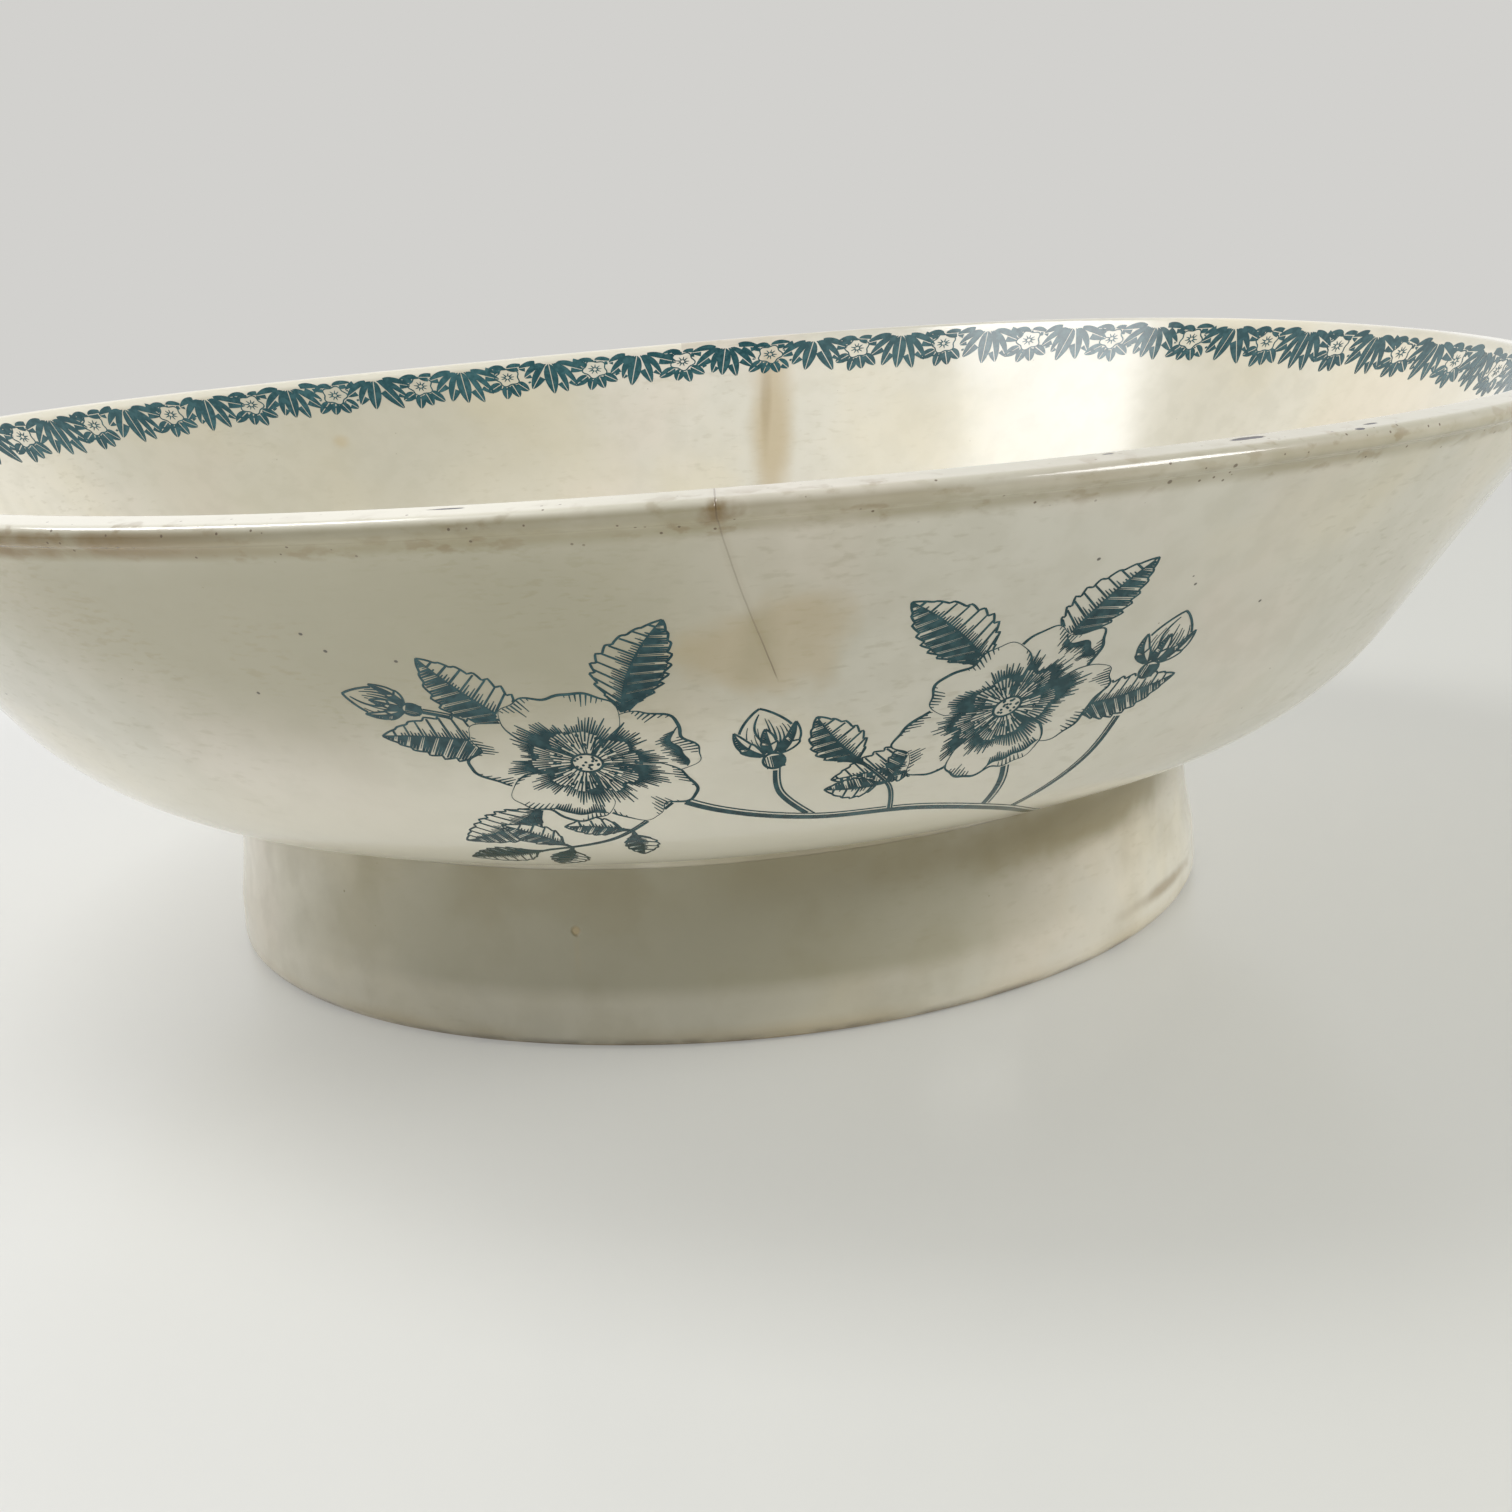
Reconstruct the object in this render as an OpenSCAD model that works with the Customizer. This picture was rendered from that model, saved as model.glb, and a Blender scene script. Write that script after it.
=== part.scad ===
// Footed serving bowl in glazed earthenware: a moulded basin luted onto a separately turned hollow foot.
// All lengths are millimetres. Z is up, and the origin is on the bowl's axis, on the surface it stands on.

/* [Basin] */
// Diameter over the rim bead
bowl_d = 241; // [210:1:270]
// Height from the table to the top of the rim
bowl_h = 72; // [66:1:90]
// Thickness of the wall and floor
wall_t = 4.2; // [3.4:0.1:5]
// Slope of the straight upper wall above the horizontal, in degrees
wall_slope = 53.5; // [48:0.5:60]
// Outside radius of the curve between the underside and the wall
heel_radius = 39; // [30:1:44]

/* [Rim] */
// Height of the rounded bead along the rim's outer edge
bead_h = 2.2; // [1.8:0.1:3]
// How far the bead stands out from the outer wall
bead_proud = 0.35; // [0.2:0.05:0.6]
// How far the rim's broad top falls from its inner edge to the bead
rim_fall = 0.35; // [0.1:0.05:0.6]
// Radius of the soft groove under the bead
groove_radius = 1.2; // [0.8:0.1:2]

/* [Foot] */
// Height of the basin's underside above the table
foot_h = 24; // [18:0.5:30]
// Diameter of the foot's neck, where it meets the basin
neck_d = 138; // [126:1:146]
// How far the base band stands out beyond the neck, at the widest
band_flare = 1.7; // [0.8:0.1:4]
// Height of the plain band round the base
band_h = 7; // [5:0.5:9]
// Thickness of the foot's wall at the neck
foot_wall_t = 5.8; // [4.6:0.1:7]
// Radius of the outer edge that the foot stands on
base_edge_radius = 2; // [1:0.1:2.6]
// Radius of the inner edge of the standing ring
base_inner_radius = 1.2; // [0.6:0.1:1.8]

/* [Luting slip] */
// Thickness of the slip film between the foot and the basin
slip_film_t = 0.5; // [0.3:0.05:1]
// Radius of the wiped slip fillet round the outside of the neck
outer_fillet_radius = 1.2; // [0.8:0.1:2.4]
// Radius of the slip fillet inside the foot
inner_fillet_radius = 3; // [1.6:0.1:4]

/* [Hidden] */

glaze_cream = [0.90, 0.87, 0.78];
glaze_cream_pooled = [0.84, 0.80, 0.68];
slip_cream = [0.80, 0.76, 0.64];
round_faces = 180;

// --- the wall's direction, and its outward normal ---
wall_dir = [cos(wall_slope), sin(wall_slope)];
wall_out = [sin(wall_slope), -cos(wall_slope)];

// --- rim: an outer bead, an inner lip of the same roundness, and a groove that blends the bead into the wall ---
bead_r = bead_h / 2;
bead_centre = [bowl_d / 2 - bead_r, bowl_h - rim_fall - bead_r];
outer_offset = bead_r - bead_proud;
lip_w = (wall_t - bead_r - outer_offset - rim_fall * wall_dir.x) / wall_out.x;
lip_centre = bead_centre + [-lip_w, rim_fall];
rim_top_angle = atan2(lip_w, rim_fall);
groove_centre = bead_centre + wall_out * (outer_offset + groove_radius)
    - wall_dir * sqrt(pow(bead_r + groove_radius, 2) - pow(outer_offset + groove_radius, 2));
groove_to_bead = bead_centre - groove_centre;
groove_end_angle = atan2(groove_to_bead.y, groove_to_bead.x);
bead_start_angle = groove_end_angle - 180;

// --- heel: the curve from the flat underside up to the straight wall ---
underside_z = foot_h;
floor_z = underside_z + wall_t;
wall_top = groove_centre - wall_out * groove_radius;
heel_centre_z = underside_z + heel_radius;
heel_end_z = heel_centre_z - heel_radius * cos(wall_slope);
wall_length = (wall_top.y - heel_end_z) / wall_dir.y;
heel_centre = [wall_top.x - wall_length * wall_dir.x - heel_radius * wall_out.x, heel_centre_z];
inner_heel_radius = heel_radius - wall_t;

// --- turned seat under the basin, flat for the foot to be luted to ---
neck_r = neck_d / 2;
neck_inner_r = neck_r - foot_wall_t;
seat_r = neck_r + outer_fillet_radius;
seat_angle = asin(max(0, seat_r - heel_centre.x) / heel_radius);

// --- foot ---
foot_top_z = underside_z - slip_film_t;
neck_z = foot_top_z - outer_fillet_radius;
band_r = neck_r + band_flare;
band_top_r = band_r - 0.2;
cove_flare = band_top_r - neck_r;
cove_drop = neck_z - band_h;
cove_radius = (pow(cove_flare, 2) + pow(cove_drop, 2)) / (2 * cove_flare);
cove_angle = asin(cove_drop / cove_radius);

// Points along an arc about a centre, from one angle to another
function arc(centre, radius, from, to, steps) =
    [for (i = [0:steps]) let (a = from + (to - from) * i / steps) centre + radius * [cos(a), sin(a)]];

// Outer side of the basin, from the axis to the top of the wall
function basin_outside() = concat(
    [[0, underside_z], [max(seat_r, heel_centre.x), underside_z]],
    arc(heel_centre, heel_radius, seat_angle - 90, wall_slope - 90, 24));

// Groove, bead and lip, from the outer wall over the rim to the inner wall
function basin_rim() = concat(
    arc(groove_centre, groove_radius, wall_slope + 90, groove_end_angle, 6),
    arc(bead_centre, bead_r, bead_start_angle, rim_top_angle, 16),
    arc(lip_centre, bead_r, rim_top_angle, wall_slope + 90, 8));

// Inner side of the basin, from the wall down to the axis
function basin_inside() = concat(
    arc(heel_centre, inner_heel_radius, wall_slope - 90, -90, 24),
    [[0, floor_z]]);

// Dish with a flat floor, a rounded heel, a straight wall and a broad rim with a bead along its outer edge
module basin() {
    color(glaze_cream)
        rotate_extrude($fn = round_faces)
            polygon(concat(basin_outside(), basin_rim(), basin_inside()));
}

// Outer side of the foot, from the table up to the neck
function foot_outside() = concat(
    arc([band_r - base_edge_radius, base_edge_radius], base_edge_radius, -90, 0, 8),
    [[band_top_r, band_h]],
    [for (i = [1:16]) let (a = cove_angle * (1 - i / 16))
        [neck_r + cove_radius * (1 - cos(a)), neck_z - cove_radius * sin(a)]],
    [[neck_r, foot_top_z]]);

// Inner side of the foot, from the neck down to the standing ring
function foot_inside() = concat(
    [[neck_inner_r, foot_top_z]],
    arc([neck_inner_r + base_inner_radius, base_inner_radius], base_inner_radius, 180, 270, 6));

// Hollow turned foot: a standing ring, a plain base band, a shallow cove and a straight neck
module foot() {
    color(glaze_cream_pooled)
        rotate_extrude($fn = round_faces)
            polygon(concat(foot_outside(), foot_inside()));
}

// Slip that joins the two: a film on the foot's top edge, wiped to a fillet on each side
module luting_slip() {
    outer_centre = [neck_r + outer_fillet_radius, foot_top_z - outer_fillet_radius];
    inner_centre = [neck_inner_r - inner_fillet_radius, foot_top_z - inner_fillet_radius];
    color(slip_cream)
        rotate_extrude($fn = round_faces)
            polygon(concat(
                [[neck_inner_r - inner_fillet_radius, underside_z]],
                arc(inner_centre, inner_fillet_radius, 90, 0, 8),
                [[neck_inner_r, foot_top_z], [neck_r, foot_top_z]],
                arc(outer_centre, outer_fillet_radius, 180, 90, 8),
                [[seat_r, underside_z]]));
}

basin();
foot();
luting_slip();
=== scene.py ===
"""The looks of a footed serving bowl: its cream glaze and stains, its teal prints, and a plain studio.

Lengths are in millimetres until a mesh is made. Azimuth is in degrees round the bowl's axis, 0 at the front
(-Y) and positive towards +X. Fall is the distance from the top of the rim along the profile, positive down
the outside and negative down the inside.
"""

import random
from functools import reduce
from math import asin, atan2, cos, dist, pi, radians, sin, sqrt

import bpy
import numpy as np
from mathutils import Matrix, Vector


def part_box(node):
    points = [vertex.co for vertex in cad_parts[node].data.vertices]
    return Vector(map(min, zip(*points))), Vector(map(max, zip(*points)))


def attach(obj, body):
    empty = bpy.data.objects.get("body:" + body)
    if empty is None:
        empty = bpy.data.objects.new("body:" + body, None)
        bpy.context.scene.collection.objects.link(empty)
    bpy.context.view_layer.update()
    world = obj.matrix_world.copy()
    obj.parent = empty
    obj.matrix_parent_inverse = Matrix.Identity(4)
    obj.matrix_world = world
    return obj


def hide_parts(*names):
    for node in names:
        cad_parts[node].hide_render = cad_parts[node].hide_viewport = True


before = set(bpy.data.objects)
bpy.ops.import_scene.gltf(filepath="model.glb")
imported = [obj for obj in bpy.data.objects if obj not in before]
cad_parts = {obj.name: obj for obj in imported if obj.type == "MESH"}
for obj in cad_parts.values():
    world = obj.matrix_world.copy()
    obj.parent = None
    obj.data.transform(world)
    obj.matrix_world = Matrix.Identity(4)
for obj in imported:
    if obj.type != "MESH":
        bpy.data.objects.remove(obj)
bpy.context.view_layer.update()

# ---------------- sizes, as in the CAD

MM = 0.001
BASIN_LOW, BASIN_HIGH = (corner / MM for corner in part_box("basin"))
FOOT_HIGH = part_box("foot")[1] / MM

RIM_RADIUS = BASIN_HIGH.y
BOWL_HEIGHT = BASIN_HIGH.z
UNDERSIDE = BASIN_LOW.z
WALL = 4.2
SLOPE = radians(53.5)
HEEL_RADIUS = 39.0
BEAD_RADIUS = 1.1
BEAD_PROUD = 0.35
RIM_FALL = 0.35
GROOVE_RADIUS = 1.2

BAND_RADIUS = FOOT_HIGH.y
NECK_RADIUS = BAND_RADIUS - 1.7
FOOT_WALL = 5.8
FOOT_TOP = FOOT_HIGH.z
BAND_HEIGHT = 7.0
BAND_TAPER = 0.2
BASE_EDGE = 2.0
BASE_INNER_EDGE = 1.2
OUTER_FILLET = 1.2
INNER_FILLET = 3.0

# A thrown rim is never quite level: waves round it, each with its height and the azimuth of its crest.
RIM_WAVES = ((1, 0.40, -113), (2, 0.42, -34), (3, 0.52, 140))


def srgb(red, green, blue):
    """A colour from 0-255 screen values, as the linear values that shaders take."""
    linear = [c / 255 / 12.92 if c <= 10 else ((c / 255 + 0.055) / 1.055) ** 2.4 for c in (red, green, blue)]
    return (*linear, 1.0)


CREAM = srgb(235, 230, 214)
CREAM_PALE = srgb(244, 240, 224)
CREAM_GREY = srgb(219, 216, 203)
CREAM_WARM = srgb(232, 221, 190)
CREAM_PINK = srgb(232, 221, 208)
# Grey-olive film, also laid as painted shade.
FILM_AND_SHADE = srgb(169, 164, 138)
OLIVE = srgb(150, 138, 98)
TAN = srgb(190, 168, 122)
RUST = srgb(136, 112, 68)
BROWN = srgb(122, 94, 38)
UMBER = srgb(84, 62, 40)
SPECK = srgb(48, 42, 38)
BARE_CLAY = srgb(196, 180, 148)
CHIP_GREY = srgb(84, 82, 92)
INK = srgb(0, 56, 64)
INK_PALE = srgb(70, 112, 116)

# ---------------- profiles and lathe meshes


def polar(radius, angle):
    """Points by their distance and angle from the origin."""
    return np.stack([radius * np.cos(angle), radius * np.sin(angle)], -1)


def arc(centre, radius, start, end, steps):
    """Points along an arc in the profile plane, angles in radians."""
    return [*(centre + polar(radius, np.linspace(start, end, steps + 1)))]


def straight(start, end, steps):
    """Points along a line, without its two ends."""
    return [tuple(np.array(start) + (np.array(end) - start) * i / steps) for i in range(1, steps)]


def basin_profile():
    """The basin's outline from the axis under the floor, over the rim, to the axis inside."""
    up = polar(1, SLOPE)
    out = np.array([up[1], -up[0]])
    bead = np.array([RIM_RADIUS - BEAD_RADIUS, BOWL_HEIGHT - RIM_FALL - BEAD_RADIUS])
    to_outer = BEAD_RADIUS - BEAD_PROUD
    lip_width = (WALL - BEAD_RADIUS - to_outer - RIM_FALL * up[0]) / out[0]
    lip = bead + (-lip_width, RIM_FALL)
    rim_top = atan2(lip_width, RIM_FALL)
    reach = sqrt((BEAD_RADIUS + GROOVE_RADIUS) ** 2 - (to_outer + GROOVE_RADIUS) ** 2)
    groove = bead + out * (to_outer + GROOVE_RADIUS) - up * reach
    groove_end = atan2(*(bead - groove)[::-1])
    wall_top = groove - out * GROOVE_RADIUS
    heel_z = UNDERSIDE + HEEL_RADIUS
    wall_foot_z = heel_z - HEEL_RADIUS * cos(SLOPE)
    wall_foot = wall_top - up * (wall_top[1] - wall_foot_z) / up[1]
    heel = wall_foot - out * HEEL_RADIUS
    inner_radius = HEEL_RADIUS - WALL
    bead_end, lip_start = bead + polar(BEAD_RADIUS, rim_top), lip + polar(BEAD_RADIUS, rim_top)
    inner_top = lip - out * BEAD_RADIUS
    inner_foot = heel + out * inner_radius
    return [(0, UNDERSIDE), *straight((0, UNDERSIDE), (heel[0], UNDERSIDE), 6),
            *arc(heel, HEEL_RADIUS, -pi / 2, SLOPE - pi / 2, 28),
            *straight(wall_foot, wall_top, 24),
            *arc(groove, GROOVE_RADIUS, SLOPE + pi / 2, groove_end, 7),
            *arc(bead, BEAD_RADIUS, groove_end - pi, rim_top, 22)[1:],
            *straight(bead_end, lip_start, 8),
            *arc(lip, BEAD_RADIUS, rim_top, SLOPE + pi / 2, 10),
            *straight(inner_top, inner_foot, 24),
            *arc(heel, inner_radius, SLOPE - pi / 2, -pi / 2, 28),
            *straight((heel[0], UNDERSIDE + WALL), (0, UNDERSIDE + WALL), 8), (0, UNDERSIDE + WALL)]


def foot_profile():
    """The foot's closed outline: up the outside from the standing ring, then down the inside."""
    cove_top = FOOT_TOP - OUTER_FILLET
    flare = BAND_RADIUS - BAND_TAPER - NECK_RADIUS
    drop = cove_top - BAND_HEIGHT
    cove_radius = (flare ** 2 + drop ** 2) / (2 * flare)
    sweep = asin(drop / cove_radius)
    inner = NECK_RADIUS - FOOT_WALL
    return [*arc((BAND_RADIUS - BASE_EDGE, BASE_EDGE), BASE_EDGE, -pi / 2, 0, 9),
            *straight((BAND_RADIUS, BASE_EDGE), (BAND_RADIUS - BAND_TAPER, BAND_HEIGHT), 6),
            *arc((NECK_RADIUS + cove_radius, cove_top), cove_radius, pi + sweep, pi, 18),
            (NECK_RADIUS, FOOT_TOP), (inner, FOOT_TOP),
            *straight((inner, FOOT_TOP), (inner, BASE_INNER_EDGE), 14),
            *arc((inner + BASE_INNER_EDGE, BASE_INNER_EDGE), BASE_INNER_EDGE, pi, 1.5 * pi, 7)]


def slip_profile():
    """The slip in the seam: a film between foot and basin with a wiped fillet on each side."""
    inner = NECK_RADIUS - FOOT_WALL
    return [(inner - INNER_FILLET, UNDERSIDE),
            *arc((inner - INNER_FILLET, FOOT_TOP - INNER_FILLET), INNER_FILLET, pi / 2, 0, 8),
            (inner, FOOT_TOP), (NECK_RADIUS, FOOT_TOP),
            *arc((NECK_RADIUS + OUTER_FILLET, FOOT_TOP - OUTER_FILLET), OUTER_FILLET, pi, pi / 2, 8),
            (NECK_RADIUS + OUTER_FILLET, UNDERSIDE)]


def uneven(radius, height, azimuth):
    """The round form's radius and height, moved by the small unevenness of a hand-finished bowl."""
    share = np.clip((height - UNDERSIDE) / (BOWL_HEIGHT - UNDERSIDE), 0, 1) ** 1.5
    lift = sum(size * np.cos(count * (azimuth - radians(crest))) for count, size, crest in RIM_WAVES)
    ripple = 0.10 * np.sin(5 * azimuth + height / 9) + 0.06 * np.sin(9 * azimuth - height / 5)
    return radius + ripple * np.clip(radius / NECK_RADIUS, 0, 1), height + share * lift


def place(radius, height, azimuth):
    """Where a point of the round form lies in the row frame, in metres."""
    radius, height = uneven(radius, height, azimuth)
    return np.stack([radius * np.sin(azimuth), -radius * np.cos(azimuth), height], -1) * MM


def lathe(name, profile, down=None, turns=540):
    """Revolves a profile. The UV map "wall" holds azimuth / 360 across, and down / 100 along the profile.

    Down is the profile's height unless it is given.
    """
    radius, height = np.array(profile, float).T
    down = height if down is None else down
    poles = radius[0] == 0
    rings = slice(1, -1) if poles else slice(None)
    spin = np.linspace(-pi, pi, turns, endpoint=False)
    grid = place(radius[rings, None], height[rings, None], spin[None, :])
    count = grid.shape[0]
    first, second = np.arange(count - 1), np.arange(1, count)
    if not poles:
        first, second = np.arange(count), np.roll(np.arange(count), -1)
    here, there = np.arange(turns), np.roll(np.arange(turns), -1)
    lower, upper = first[:, None] * turns, second[:, None] * turns
    quads = np.stack([lower + here, lower + there, upper + there, upper + here], -1).reshape(-1, 4)
    across = np.arange(turns + 1) / turns - 0.5
    ring_down = down[rings] / 100
    left, right = across[:-1], across[1:]
    low, high = ring_down[first][:, None], ring_down[second][:, None]
    corners = np.stack(np.broadcast_arrays(left, low, right, low, right, high, left, high), -1)
    vertices, faces, uv = grid.reshape(-1, 3).tolist(), quads.tolist(), corners.reshape(-1, 2).tolist()
    if poles:
        for pole, ring, flip in ((0, 0, False), (-1, count - 1, True)):
            tip = len(vertices)
            vertices.append(place(0.0, height[pole], 0.0).tolist())
            for j in range(turns):
                a, b = ring * turns + j, ring * turns + (j + 1) % turns
                ends = [(a, across[j]), (b, across[j + 1])]
                if not flip:
                    ends.reverse()
                faces.append([ends[0][0], ends[1][0], tip])
                uv += [[ends[0][1], ring_down[ring]], [ends[1][1], ring_down[ring]],
                       [(across[j] + across[j + 1]) / 2, down[pole] / 100]]
    return make_mesh(name, vertices, faces, uv, smooth=True)


def make_mesh(name, vertices, faces, uv=None, smooth=False):
    """A mesh object in the scene, with its corners' UV coordinates in a map named "wall"."""
    mesh = bpy.data.meshes.new(name)
    mesh.from_pydata(vertices, [], faces)
    if uv is not None:
        layer = mesh.uv_layers.new(name="wall")
        layer.data.foreach_set("uv", np.array(uv, np.float32).ravel())
    mesh.polygons.foreach_set("use_smooth", [smooth] * len(mesh.polygons))
    mesh.update()
    piece = bpy.data.objects.new(name, mesh)
    bpy.context.scene.collection.objects.link(piece)
    return piece


BASIN_PROFILE = np.array(basin_profile())
PROFILE_LENGTH = np.concatenate([[0], np.cumsum(np.hypot(*np.diff(BASIN_PROFILE, axis=0).T))])
RIM_TOP = BASIN_PROFILE[:, 1].argmax()
BASIN_FALL = PROFILE_LENGTH[RIM_TOP] - PROFILE_LENGTH


def outside(height):
    """The fall at a height on the outer side."""
    return float(np.interp(height, BASIN_PROFILE[:RIM_TOP, 1], BASIN_FALL[:RIM_TOP]))


def within(height):
    """The fall at a height on the inner side."""
    return float(np.interp(-height, -BASIN_PROFILE[RIM_TOP:, 1], BASIN_FALL[RIM_TOP:]))


def on_basin(azimuth, fall, lift):
    """A point on the basin's skin, raised by lift along the surface normal. Azimuth is in radians here."""
    along = PROFILE_LENGTH[RIM_TOP] - fall
    radius = np.interp(along, PROFILE_LENGTH, BASIN_PROFILE[:, 0])
    height = np.interp(along, PROFILE_LENGTH, BASIN_PROFILE[:, 1])
    slope = np.gradient(BASIN_PROFILE, PROFILE_LENGTH, axis=0)
    slope_r = np.interp(along, PROFILE_LENGTH, slope[:, 0])
    slope_z = np.interp(along, PROFILE_LENGTH, slope[:, 1])
    size = np.hypot(slope_r, slope_z)
    return place(radius + lift * slope_z / size, height - lift * slope_r / size, azimuth)


# ---------------- flat drawing, in mm

STROKE_STEP = 0.4  # spacing of the points along a stroke
THINNEST_LINE = 0.03  # half width below which a stroke breaks off


def smooth_line(points):
    """A Catmull-Rom curve through a few given points."""
    knots = np.array([points[0], *points, points[-1]], float)
    line = []
    for before, start, end, after in zip(knots, knots[1:], knots[2:], knots[3:]):
        count = max(2, int(dist(start, end) / STROKE_STEP))
        for t in np.arange(count) / count:
            line.append(0.5 * (2 * start + (end - before) * t
                               + (2 * before - 5 * start + 4 * end - after) * t ** 2
                               + (3 * start - before - 3 * end + after) * t ** 3))
    return np.array([*line, knots[-1]])


def tapered(line, width, ends=0.15):
    """A stroke that swells to its width in the middle. Ends is how wide its ends are, as a share."""
    swell = np.sin(pi * np.linspace(0, 1, len(line))) ** 0.7
    return line, width / 2 * (ends + (1 - ends) * swell)


def sideways(line):
    """Unit vectors to the left of a line, at each of its points."""
    along = np.gradient(line, axis=0)
    return np.stack([-along[:, 1], along[:, 0]], 1) / np.hypot(*along.T)[:, None]


def inside(points, outline):
    """Which of the points lie inside a closed outline."""
    x, y = points[:, 0, None], points[:, 1, None]
    x0, y0 = outline[:, 0], outline[:, 1]
    x1, y1 = np.roll(x0, -1), np.roll(y0, -1)
    crosses = (y0 > y) != (y1 > y)
    with np.errstate(divide="ignore", invalid="ignore"):
        at = (x1 - x0) * (y - y0) / (y1 - y0) + x0
    return (crosses & (x < at)).sum(axis=1) % 2 == 1


class Engraving:
    """Strokes of ink on a flat sheet. A shape hides what was drawn before it inside its outline.

    A stroke is a line and the half width at each of its points.
    """

    def __init__(self):
        self.shapes = []

    def add(self, outline, strokes, place=None):
        """Adds a shape, which may have no outline, with each point moved by place."""
        if place:
            outline = None if outline is None else place(outline)
            strokes = [(place(line), widths) for line, widths in strokes]
        self.shapes.append((outline, strokes))

    def extend(self, other, place):
        """Adds another engraving's shapes, each point moved by place."""
        for outline, strokes in other.shapes:
            self.add(outline, strokes, place)

    def visible(self):
        """Every stroke, cut where a later shape covers it."""
        kept = []
        for index, (_, strokes) in enumerate(self.shapes):
            covers = [o for o, _ in self.shapes[index + 1:] if o is not None]
            for line, widths in strokes:
                shown = widths > THINNEST_LINE
                low, high = line.min(0), line.max(0)
                for cover in covers:
                    if (cover.max(0) > low).all() and (cover.min(0) < high).all():
                        shown &= ~inside(line, cover)
                breaks = np.flatnonzero(np.diff(np.concatenate([[0], shown.astype(int), [0]])))
                for first, last in zip(breaks[::2], breaks[1::2]):
                    if last - first >= 2:
                        kept.append((line[first:last], widths[first:last]))
        return kept


def resample(line, step=STROKE_STEP):
    """The same line with a point at every step."""
    line = np.asarray(line, float)
    length = np.concatenate([[0], np.cumsum(np.hypot(*np.diff(line, axis=0).T))])
    count = max(2, int(length[-1] / step) + 1)
    at = np.linspace(0, length[-1], count)
    return np.stack([np.interp(at, length, line[:, 0]), np.interp(at, length, line[:, 1])], 1)


def even(line, half, step=None):
    """A stroke of one half width. With a step, its line is resampled first."""
    line = resample(line, step) if step else line
    return line, np.full(len(line), half)


def fading(line, start, end, width=1.0):
    """A stroke whose half width goes evenly from start to end, both times width."""
    return line, width * np.linspace(start, end, len(line))


def dash(x, y, reach, thin, thick):
    """A short mark across a point, thickest there."""
    return np.array([(x - reach, y), (x, y), (x + reach, y)]), np.array([thin, thick, thin])


def turned(angle, centre=(0, 0), squash=1.0, lean=0.0):
    """A placing function: squash flattens the drawing across lean, then it is turned and moved."""
    def place(line):
        line = np.asarray(line, float)
        if squash != 1.0:
            c, s = cos(lean), sin(lean)
            along, across = line @ (c, s), line @ (-s, c) * squash
            line = np.stack([along * c - across * s, along * s + across * c], 1)
        c, s = cos(angle), sin(angle)
        return np.stack([line[:, 0] * c - line[:, 1] * s + centre[0],
                         line[:, 0] * s + line[:, 1] * c + centre[1]], 1)
    return place


# ---------------- plant forms

HATCH_STEP = 0.40  # distance between the lines that shade a form
FINE = 0.3  # spacing of the points along an outline
HATCH = 0.35  # and along a line of shading


def petal(angle, length, half_angle, notch, shade, rng, lip=None):
    """A ruffled petal fanning from the origin. Shade is how dark its base is; lip is a turned-over edge."""
    sides = np.linspace(-1, 1, 61)
    phase = rng.uniform(0, 6.28)

    def reach(t):
        edge = 1 - notch * np.exp(-(t / 0.2) ** 2) - 0.40 * np.abs(t) ** 3.0
        return length * edge * (1 + 0.026 * np.sin(8 * t + phase) + 0.014 * np.sin(19 * t + 2 * phase))

    def spot(t, share):
        a = angle + half_angle * t * (1 - 0.3 * (1 - share) ** 2)
        return polar(reach(t) * share, a)

    low = np.linspace(0.06, 1, 16)
    left, right = spot(-np.ones_like(low), low), spot(np.ones_like(low), low)
    outline = np.concatenate([left, spot(sides, np.ones_like(sides)), right[::-1]])
    edge = resample(outline, FINE)
    weight = 0.10 + 0.07 * np.sin(np.linspace(0, 14, len(edge)) + phase)
    strokes = [(edge, weight)]
    count = int(2 * half_angle * length * 0.75 / HATCH_STEP)
    for i in range(1, count):
        t = -1 + 2 * i / count
        start = (0.22, 0.46, 0.32, 0.46)[i % 4]
        end = 0.52 + 0.16 * rng.random() + 0.34 * max(0, t) ** 1.5 + 0.16 * max(0, -t)
        share = np.linspace(start, end, 14)
        line = resample(spot(np.full_like(share, t), share), HATCH)
        gap = 2 * half_angle * length * np.linspace(start, end, len(line)) / count
        fade = np.linspace(1, 0, len(line)) ** 0.7
        strokes.append((line, 0.42 * gap * shade * (1 + 0.35 * max(0, t)) * fade + 0.012))
        crinkle = 0.5 - 0.5 * sin(8 * t + phase)
        if crinkle > 0.35:
            share = np.linspace(0.99, 0.97 - 0.24 * crinkle * rng.uniform(0.6, 1), 8)
            line = resample(spot(np.full_like(share, t), share), HATCH)
            strokes.append(fading(line, 1, 0.1, 0.10 * crinkle))
    if lip is not None:
        low_t, high_t, depth = lip
        t = np.linspace(low_t, high_t, 24)
        curl = 1 - depth * np.sin(pi * (t - low_t) / (high_t - low_t)) ** 0.7
        strokes.append(tapered(resample(spot(t, curl), FINE), 0.26, 0.2))
        for k in range(2, 22):
            share = np.linspace(curl[k], curl[k] - rng.uniform(0.10, 0.2), 6)
            strokes.append(fading(resample(spot(np.full(6, t[k]), share), FINE), 1, 0.1, 0.14))
    return outline, strokes


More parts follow.
